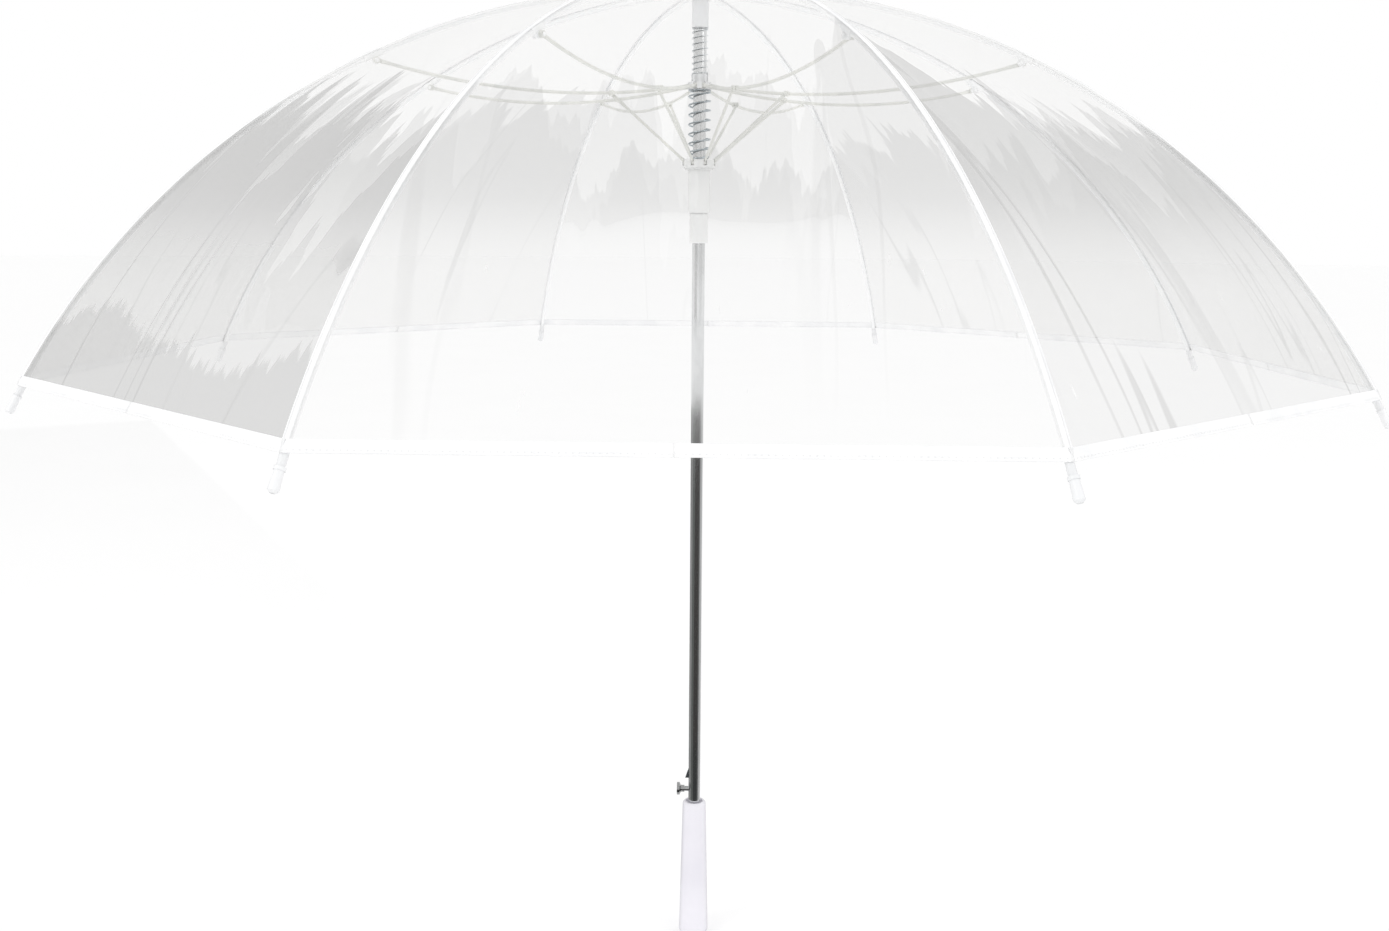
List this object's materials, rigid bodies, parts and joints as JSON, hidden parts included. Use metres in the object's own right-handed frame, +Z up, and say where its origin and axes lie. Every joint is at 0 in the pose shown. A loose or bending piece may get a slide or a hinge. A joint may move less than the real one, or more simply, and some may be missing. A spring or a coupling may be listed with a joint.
{
  "type": "stick umbrella",
  "caption": "Clear dome-shaped stick umbrella, open, with white ribs and tips, a chrome shaft, a spring-opened runner with curved struts, and a straight white handle with a push button.",
  "frame": {"origin": "on the shaft's axis, half way up the handle, where a hand holds it", "axes": "+Z up along the shaft towards the ferrule; -X towards the release button; the middles of two opposite gores face -Y and +Y"},
  "size_m": [0.907, 0.907, 0.8018],
  "materials": {
    "clear_film": "clear, glossy",
    "rib_white": "white satin coat",
    "strut_cream": "cream satin coat",
    "white_plastic": "moulded, semi-gloss",
    "handle_plastic": "moulded, satin",
    "chrome_tube": "polished",
    "spring_steel": "bright zinc"
  },
  "bodies": {
    "frame": {"shaft_tube": "chrome_tube", "top_notch": "white_plastic", "canopy_washer": "white_plastic", "ferrule": "white_plastic", "buffer_spring": "spring_steel", "handle": "handle_plastic", "catch_spring": "spring_steel"},
    "runner": {"runner": "white_plastic"},
    "slider": {"slider_ring": "white_plastic", "main_spring": "spring_steel"},
    "button": {"release_button": "chrome_tube", "catch_tooth": "spring_steel"},
    "rib_1": {"rib_1": "rib_white"},
    "tip_1": {"rib_tip_1": "white_plastic"},
    "stretcher_1": {"stretcher_1": "strut_cream"},
    "link_1": {"link_1": "strut_cream"},
    "fold_1_left": {"canopy_1_left": "clear_film"},
    "fold_1_right": {"canopy_1_right": "clear_film"},
    "rib_2": {"rib_2": "rib_white"},
    "tip_2": {"rib_tip_2": "white_plastic"},
    "stretcher_2": {"stretcher_2": "strut_cream"},
    "link_2": {"link_2": "strut_cream"},
    "fold_2_left": {"canopy_2_left": "clear_film"},
    "fold_2_right": {"canopy_2_right": "clear_film"},
    "rib_3": {"rib_3": "rib_white"},
    "tip_3": {"rib_tip_3": "white_plastic"},
    "stretcher_3": {"stretcher_3": "strut_cream"},
    "link_3": {"link_3": "strut_cream"},
    "fold_3_left": {"canopy_3_left": "clear_film"},
    "fold_3_right": {"canopy_3_right": "clear_film"},
    "rib_4": {"rib_4": "rib_white"},
    "tip_4": {"rib_tip_4": "white_plastic"},
    "stretcher_4": {"stretcher_4": "strut_cream"},
    "link_4": {"link_4": "strut_cream"},
    "fold_4_left": {"canopy_4_left": "clear_film"},
    "fold_4_right": {"canopy_4_right": "clear_film"},
    "rib_5": {"rib_5": "rib_white"},
    "tip_5": {"rib_tip_5": "white_plastic"},
    "stretcher_5": {"stretcher_5": "strut_cream"},
    "link_5": {"link_5": "strut_cream"},
    "fold_5_left": {"canopy_5_left": "clear_film"},
    "fold_5_right": {"canopy_5_right": "clear_film"},
    "rib_6": {"rib_6": "rib_white"},
    "tip_6": {"rib_tip_6": "white_plastic"},
    "stretcher_6": {"stretcher_6": "strut_cream"},
    "link_6": {"link_6": "strut_cream"},
    "fold_6_left": {"canopy_6_left": "clear_film"},
    "fold_6_right": {"canopy_6_right": "clear_film"},
    "rib_7": {"rib_7": "rib_white"},
    "tip_7": {"rib_tip_7": "white_plastic"},
    "stretcher_7": {"stretcher_7": "strut_cream"},
    "link_7": {"link_7": "strut_cream"},
    "fold_7_left": {"canopy_7_left": "clear_film"},
    "fold_7_right": {"canopy_7_right": "clear_film"},
    "rib_8": {"rib_8": "rib_white"},
    "tip_8": {"rib_tip_8": "white_plastic"},
    "stretcher_8": {"stretcher_8": "strut_cream"},
    "link_8": {"link_8": "strut_cream"},
    "fold_8_left": {"canopy_8_left": "clear_film"},
    "fold_8_right": {"canopy_8_right": "clear_film"}
  },
  "joints": [
    {"name": "runner_slide", "type": "slide", "parent": "frame", "child": "runner", "axis": [0, 0, -1], "range_m": [0, 0.3561], "stiffness_N_per_m": 60, "springref_m": -0.2, "deforming": ["main_spring", "rib_1", "stretcher_1", "canopy_1_left", "canopy_1_right", "rib_2", "stretcher_2", "canopy_2_left", "canopy_2_right", "rib_3", "stretcher_3", "canopy_3_left", "canopy_3_right", "rib_4", "stretcher_4", "canopy_4_left", "canopy_4_right", "rib_5", "stretcher_5", "canopy_5_left", "canopy_5_right", "rib_6", "stretcher_6", "canopy_6_left", "canopy_6_right", "rib_7", "stretcher_7", "canopy_7_left", "canopy_7_right", "rib_8", "stretcher_8", "canopy_8_left", "canopy_8_right"]},
    {"name": "slider_slide", "type": "slide", "parent": "frame", "child": "slider", "axis": [0, 0, -1], "range_m": [0, 0.3995]},
    {"name": "rib_1_hinge", "type": "hinge", "parent": "frame", "child": "rib_1", "pos_m": [0.00739, 0.00306, 0.70034], "axis": [-0.3827, 0.9239, 0], "range_deg": [0, 57.81]},
    {"name": "stretcher_1_hinge", "type": "hinge", "parent": "slider", "child": "stretcher_1", "pos_m": [0.00693, 0.00287, 0.6335], "axis": [0.3827, -0.9239, 0], "range_deg": [0, 85.39]},
    {"name": "link_1_hinge", "type": "hinge", "parent": "runner", "child": "link_1", "pos_m": [0.00998, 0.00413, 0.5763], "axis": [0.3827, -0.9239, 0], "range_deg": [0, 48.74]},
    {"name": "tip_1_flex", "type": "hinge", "parent": "rib_1", "child": "tip_1", "pos_m": [0.44531, 0.18445, 0.41512], "axis": [0.3827, -0.9239, 0], "range_deg": [0, 30.4]},
    {"name": "canopy_1_left_fold", "type": "hinge", "parent": "rib_1", "child": "fold_1_left", "pos_m": [0.00739, 0.00306, 0.70034], "axis": [0.7916, 0.3279, -0.5156], "range_deg": [0, 64.99]},
    {"name": "canopy_1_right_fold", "type": "hinge", "parent": "rib_1", "child": "fold_1_right", "pos_m": [0.00739, 0.00306, 0.70034], "axis": [-0.7916, -0.3279, 0.5156], "range_deg": [0, 64.99]},
    {"name": "rib_2_hinge", "type": "hinge", "parent": "frame", "child": "rib_2", "pos_m": [0.00306, 0.00739, 0.70034], "axis": [-0.9239, 0.3827, 0], "range_deg": [0, 57.81]},
    {"name": "stretcher_2_hinge", "type": "hinge", "parent": "slider", "child": "stretcher_2", "pos_m": [0.00287, 0.00693, 0.6335], "axis": [0.9239, -0.3827, 0], "range_deg": [0, 85.39]},
    {"name": "link_2_hinge", "type": "hinge", "parent": "runner", "child": "link_2", "pos_m": [0.00413, 0.00998, 0.5763], "axis": [0.9239, -0.3827, 0], "range_deg": [0, 48.74]},
    {"name": "tip_2_flex", "type": "hinge", "parent": "rib_2", "child": "tip_2", "pos_m": [0.18445, 0.44531, 0.41512], "axis": [0.9239, -0.3827, 0], "range_deg": [0, 30.4]},
    {"name": "canopy_2_left_fold", "type": "hinge", "parent": "rib_2", "child": "fold_2_left", "pos_m": [0.00306, 0.00739, 0.70034], "axis": [0.3279, 0.7916, -0.5156], "range_deg": [0, 64.99]},
    {"name": "canopy_2_right_fold", "type": "hinge", "parent": "rib_2", "child": "fold_2_right", "pos_m": [0.00306, 0.00739, 0.70034], "axis": [-0.3279, -0.7916, 0.5156], "range_deg": [0, 64.99]},
    {"name": "rib_3_hinge", "type": "hinge", "parent": "frame", "child": "rib_3", "pos_m": [-0.00306, 0.00739, 0.70034], "axis": [-0.9239, -0.3827, 0], "range_deg": [0, 57.81]},
    {"name": "stretcher_3_hinge", "type": "hinge", "parent": "slider", "child": "stretcher_3", "pos_m": [-0.00287, 0.00693, 0.6335], "axis": [0.9239, 0.3827, 0], "range_deg": [0, 85.39]},
    {"name": "link_3_hinge", "type": "hinge", "parent": "runner", "child": "link_3", "pos_m": [-0.00413, 0.00998, 0.5763], "axis": [0.9239, 0.3827, 0], "range_deg": [0, 48.74]},
    {"name": "tip_3_flex", "type": "hinge", "parent": "rib_3", "child": "tip_3", "pos_m": [-0.18445, 0.44531, 0.41512], "axis": [0.9239, 0.3827, 0], "range_deg": [0, 30.4]},
    {"name": "canopy_3_left_fold", "type": "hinge", "parent": "rib_3", "child": "fold_3_left", "pos_m": [-0.00306, 0.00739, 0.70034], "axis": [-0.3279, 0.7916, -0.5156], "range_deg": [0, 64.99]},
    {"name": "canopy_3_right_fold", "type": "hinge", "parent": "rib_3", "child": "fold_3_right", "pos_m": [-0.00306, 0.00739, 0.70034], "axis": [0.3279, -0.7916, 0.5156], "range_deg": [0, 64.99]},
    {"name": "rib_4_hinge", "type": "hinge", "parent": "frame", "child": "rib_4", "pos_m": [-0.00739, 0.00306, 0.70034], "axis": [-0.3827, -0.9239, 0], "range_deg": [0, 57.81]},
    {"name": "stretcher_4_hinge", "type": "hinge", "parent": "slider", "child": "stretcher_4", "pos_m": [-0.00693, 0.00287, 0.6335], "axis": [0.3827, 0.9239, 0], "range_deg": [0, 85.39]},
    {"name": "link_4_hinge", "type": "hinge", "parent": "runner", "child": "link_4", "pos_m": [-0.00998, 0.00413, 0.5763], "axis": [0.3827, 0.9239, 0], "range_deg": [0, 48.74]},
    {"name": "tip_4_flex", "type": "hinge", "parent": "rib_4", "child": "tip_4", "pos_m": [-0.44531, 0.18445, 0.41512], "axis": [0.3827, 0.9239, 0], "range_deg": [0, 30.4]},
    {"name": "canopy_4_left_fold", "type": "hinge", "parent": "rib_4", "child": "fold_4_left", "pos_m": [-0.00739, 0.00306, 0.70034], "axis": [-0.7916, 0.3279, -0.5156], "range_deg": [0, 64.99]},
    {"name": "canopy_4_right_fold", "type": "hinge", "parent": "rib_4", "child": "fold_4_right", "pos_m": [-0.00739, 0.00306, 0.70034], "axis": [0.7916, -0.3279, 0.5156], "range_deg": [0, 64.99]},
    {"name": "rib_5_hinge", "type": "hinge", "parent": "frame", "child": "rib_5", "pos_m": [-0.00739, -0.00306, 0.70034], "axis": [0.3827, -0.9239, 0], "range_deg": [0, 57.81]},
    {"name": "stretcher_5_hinge", "type": "hinge", "parent": "slider", "child": "stretcher_5", "pos_m": [-0.00693, -0.00287, 0.6335], "axis": [-0.3827, 0.9239, 0], "range_deg": [0, 85.39]},
    {"name": "link_5_hinge", "type": "hinge", "parent": "runner", "child": "link_5", "pos_m": [-0.00998, -0.00413, 0.5763], "axis": [-0.3827, 0.9239, 0], "range_deg": [0, 48.74]},
    {"name": "tip_5_flex", "type": "hinge", "parent": "rib_5", "child": "tip_5", "pos_m": [-0.44531, -0.18445, 0.41512], "axis": [-0.3827, 0.9239, 0], "range_deg": [0, 30.4]},
    {"name": "canopy_5_left_fold", "type": "hinge", "parent": "rib_5", "child": "fold_5_left", "pos_m": [-0.00739, -0.00306, 0.70034], "axis": [-0.7916, -0.3279, -0.5156], "range_deg": [0, 64.99]},
    {"name": "canopy_5_right_fold", "type": "hinge", "parent": "rib_5", "child": "fold_5_right", "pos_m": [-0.00739, -0.00306, 0.70034], "axis": [0.7916, 0.3279, 0.5156], "range_deg": [0, 64.99]},
    {"name": "rib_6_hinge", "type": "hinge", "parent": "frame", "child": "rib_6", "pos_m": [-0.00306, -0.00739, 0.70034], "axis": [0.9239, -0.3827, 0], "range_deg": [0, 57.81]},
    {"name": "stretcher_6_hinge", "type": "hinge", "parent": "slider", "child": "stretcher_6", "pos_m": [-0.00287, -0.00693, 0.6335], "axis": [-0.9239, 0.3827, 0], "range_deg": [0, 85.39]},
    {"name": "link_6_hinge", "type": "hinge", "parent": "runner", "child": "link_6", "pos_m": [-0.00413, -0.00998, 0.5763], "axis": [-0.9239, 0.3827, 0], "range_deg": [0, 48.74]},
    {"name": "tip_6_flex", "type": "hinge", "parent": "rib_6", "child": "tip_6", "pos_m": [-0.18445, -0.44531, 0.41512], "axis": [-0.9239, 0.3827, 0], "range_deg": [0, 30.4]},
    {"name": "canopy_6_left_fold", "type": "hinge", "parent": "rib_6", "child": "fold_6_left", "pos_m": [-0.00306, -0.00739, 0.70034], "axis": [-0.3279, -0.7916, -0.5156], "range_deg": [0, 64.99]},
    {"name": "canopy_6_right_fold", "type": "hinge", "parent": "rib_6", "child": "fold_6_right", "pos_m": [-0.00306, -0.00739, 0.70034], "axis": [0.3279, 0.7916, 0.5156], "range_deg": [0, 64.99]},
    {"name": "rib_7_hinge", "type": "hinge", "parent": "frame", "child": "rib_7", "pos_m": [0.00306, -0.00739, 0.70034], "axis": [0.9239, 0.3827, 0], "range_deg": [0, 57.81]},
    {"name": "stretcher_7_hinge", "type": "hinge", "parent": "slider", "child": "stretcher_7", "pos_m": [0.00287, -0.00693, 0.6335], "axis": [-0.9239, -0.3827, 0], "range_deg": [0, 85.39]},
    {"name": "link_7_hinge", "type": "hinge", "parent": "runner", "child": "link_7", "pos_m": [0.00413, -0.00998, 0.5763], "axis": [-0.9239, -0.3827, 0], "range_deg": [0, 48.74]},
    {"name": "tip_7_flex", "type": "hinge", "parent": "rib_7", "child": "tip_7", "pos_m": [0.18445, -0.44531, 0.41512], "axis": [-0.9239, -0.3827, 0], "range_deg": [0, 30.4]},
    {"name": "canopy_7_left_fold", "type": "hinge", "parent": "rib_7", "child": "fold_7_left", "pos_m": [0.00306, -0.00739, 0.70034], "axis": [0.3279, -0.7916, -0.5156], "range_deg": [0, 64.99]},
    {"name": "canopy_7_right_fold", "type": "hinge", "parent": "rib_7", "child": "fold_7_right", "pos_m": [0.00306, -0.00739, 0.70034], "axis": [-0.3279, 0.7916, 0.5156], "range_deg": [0, 64.99]},
    {"name": "rib_8_hinge", "type": "hinge", "parent": "frame", "child": "rib_8", "pos_m": [0.00739, -0.00306, 0.70034], "axis": [0.3827, 0.9239, 0], "range_deg": [0, 57.81]},
    {"name": "stretcher_8_hinge", "type": "hinge", "parent": "slider", "child": "stretcher_8", "pos_m": [0.00693, -0.00287, 0.6335], "axis": [-0.3827, -0.9239, 0], "range_deg": [0, 85.39]},
    {"name": "link_8_hinge", "type": "hinge", "parent": "runner", "child": "link_8", "pos_m": [0.00998, -0.00413, 0.5763], "axis": [-0.3827, -0.9239, 0], "range_deg": [0, 48.74]},
    {"name": "tip_8_flex", "type": "hinge", "parent": "rib_8", "child": "tip_8", "pos_m": [0.44531, -0.18445, 0.41512], "axis": [-0.3827, -0.9239, 0], "range_deg": [0, 30.4]},
    {"name": "canopy_8_left_fold", "type": "hinge", "parent": "rib_8", "child": "fold_8_left", "pos_m": [0.00739, -0.00306, 0.70034], "axis": [0.7916, -0.3279, -0.5156], "range_deg": [0, 64.99]},
    {"name": "canopy_8_right_fold", "type": "hinge", "parent": "rib_8", "child": "fold_8_right", "pos_m": [0.00739, -0.00306, 0.70034], "axis": [-0.7916, 0.3279, 0.5156], "range_deg": [0, 64.99]},
    {"name": "button_press", "type": "slide", "parent": "frame", "child": "button", "axis": [1, 0, 0], "range_m": [0, 0.003], "stiffness_N_per_m": 600, "springref_m": -0.002, "deforming": ["catch_spring"]}
  ],
  "couplings": [
    {"joint": "slider_slide", "follows": "runner_slide", "ratio": 1.1189},
    {"joint": "rib_1_hinge", "follows": "runner_slide", "rad_per_m": 2.8237},
    {"joint": "stretcher_1_hinge", "follows": "runner_slide", "rad_per_m": 4.1754},
    {"joint": "link_1_hinge", "follows": "runner_slide", "rad_per_m": 2.3791},
    {"joint": "tip_1_flex", "follows": "runner_slide", "rad_per_m": 1.4803},
    {"joint": "canopy_1_left_fold", "follows": "runner_slide", "rad_per_m": 3.1756},
    {"joint": "canopy_1_right_fold", "follows": "runner_slide", "rad_per_m": 3.1756},
    {"joint": "rib_2_hinge", "follows": "runner_slide", "rad_per_m": 2.8237},
    {"joint": "stretcher_2_hinge", "follows": "runner_slide", "rad_per_m": 4.1754},
    {"joint": "link_2_hinge", "follows": "runner_slide", "rad_per_m": 2.3791},
    {"joint": "tip_2_flex", "follows": "runner_slide", "rad_per_m": 1.4803},
    {"joint": "canopy_2_left_fold", "follows": "runner_slide", "rad_per_m": 3.1756},
    {"joint": "canopy_2_right_fold", "follows": "runner_slide", "rad_per_m": 3.1756},
    {"joint": "rib_3_hinge", "follows": "runner_slide", "rad_per_m": 2.8237},
    {"joint": "stretcher_3_hinge", "follows": "runner_slide", "rad_per_m": 4.1754},
    {"joint": "link_3_hinge", "follows": "runner_slide", "rad_per_m": 2.3791},
    {"joint": "tip_3_flex", "follows": "runner_slide", "rad_per_m": 1.4803},
    {"joint": "canopy_3_left_fold", "follows": "runner_slide", "rad_per_m": 3.1756},
    {"joint": "canopy_3_right_fold", "follows": "runner_slide", "rad_per_m": 3.1756},
    {"joint": "rib_4_hinge", "follows": "runner_slide", "rad_per_m": 2.8237},
    {"joint": "stretcher_4_hinge", "follows": "runner_slide", "rad_per_m": 4.1754},
    {"joint": "link_4_hinge", "follows": "runner_slide", "rad_per_m": 2.3791},
    {"joint": "tip_4_flex", "follows": "runner_slide", "rad_per_m": 1.4803},
    {"joint": "canopy_4_left_fold", "follows": "runner_slide", "rad_per_m": 3.1756},
    {"joint": "canopy_4_right_fold", "follows": "runner_slide", "rad_per_m": 3.1756},
    {"joint": "rib_5_hinge", "follows": "runner_slide", "rad_per_m": 2.8237},
    {"joint": "stretcher_5_hinge", "follows": "runner_slide", "rad_per_m": 4.1754},
    {"joint": "link_5_hinge", "follows": "runner_slide", "rad_per_m": 2.3791},
    {"joint": "tip_5_flex", "follows": "runner_slide", "rad_per_m": 1.4803},
    {"joint": "canopy_5_left_fold", "follows": "runner_slide", "rad_per_m": 3.1756},
    {"joint": "canopy_5_right_fold", "follows": "runner_slide", "rad_per_m": 3.1756},
    {"joint": "rib_6_hinge", "follows": "runner_slide", "rad_per_m": 2.8237},
    {"joint": "stretcher_6_hinge", "follows": "runner_slide", "rad_per_m": 4.1754},
    {"joint": "link_6_hinge", "follows": "runner_slide", "rad_per_m": 2.3791},
    {"joint": "tip_6_flex", "follows": "runner_slide", "rad_per_m": 1.4803},
    {"joint": "canopy_6_left_fold", "follows": "runner_slide", "rad_per_m": 3.1756},
    {"joint": "canopy_6_right_fold", "follows": "runner_slide", "rad_per_m": 3.1756},
    {"joint": "rib_7_hinge", "follows": "runner_slide", "rad_per_m": 2.8237},
    {"joint": "stretcher_7_hinge", "follows": "runner_slide", "rad_per_m": 4.1754},
    {"joint": "link_7_hinge", "follows": "runner_slide", "rad_per_m": 2.3791},
    {"joint": "tip_7_flex", "follows": "runner_slide", "rad_per_m": 1.4803},
    {"joint": "canopy_7_left_fold", "follows": "runner_slide", "rad_per_m": 3.1756},
    {"joint": "canopy_7_right_fold", "follows": "runner_slide", "rad_per_m": 3.1756},
    {"joint": "rib_8_hinge", "follows": "runner_slide", "rad_per_m": 2.8237},
    {"joint": "stretcher_8_hinge", "follows": "runner_slide", "rad_per_m": 4.1754},
    {"joint": "link_8_hinge", "follows": "runner_slide", "rad_per_m": 2.3791},
    {"joint": "tip_8_flex", "follows": "runner_slide", "rad_per_m": 1.4803},
    {"joint": "canopy_8_left_fold", "follows": "runner_slide", "rad_per_m": 3.1756},
    {"joint": "canopy_8_right_fold", "follows": "runner_slide", "rad_per_m": 3.1756}
  ]
}
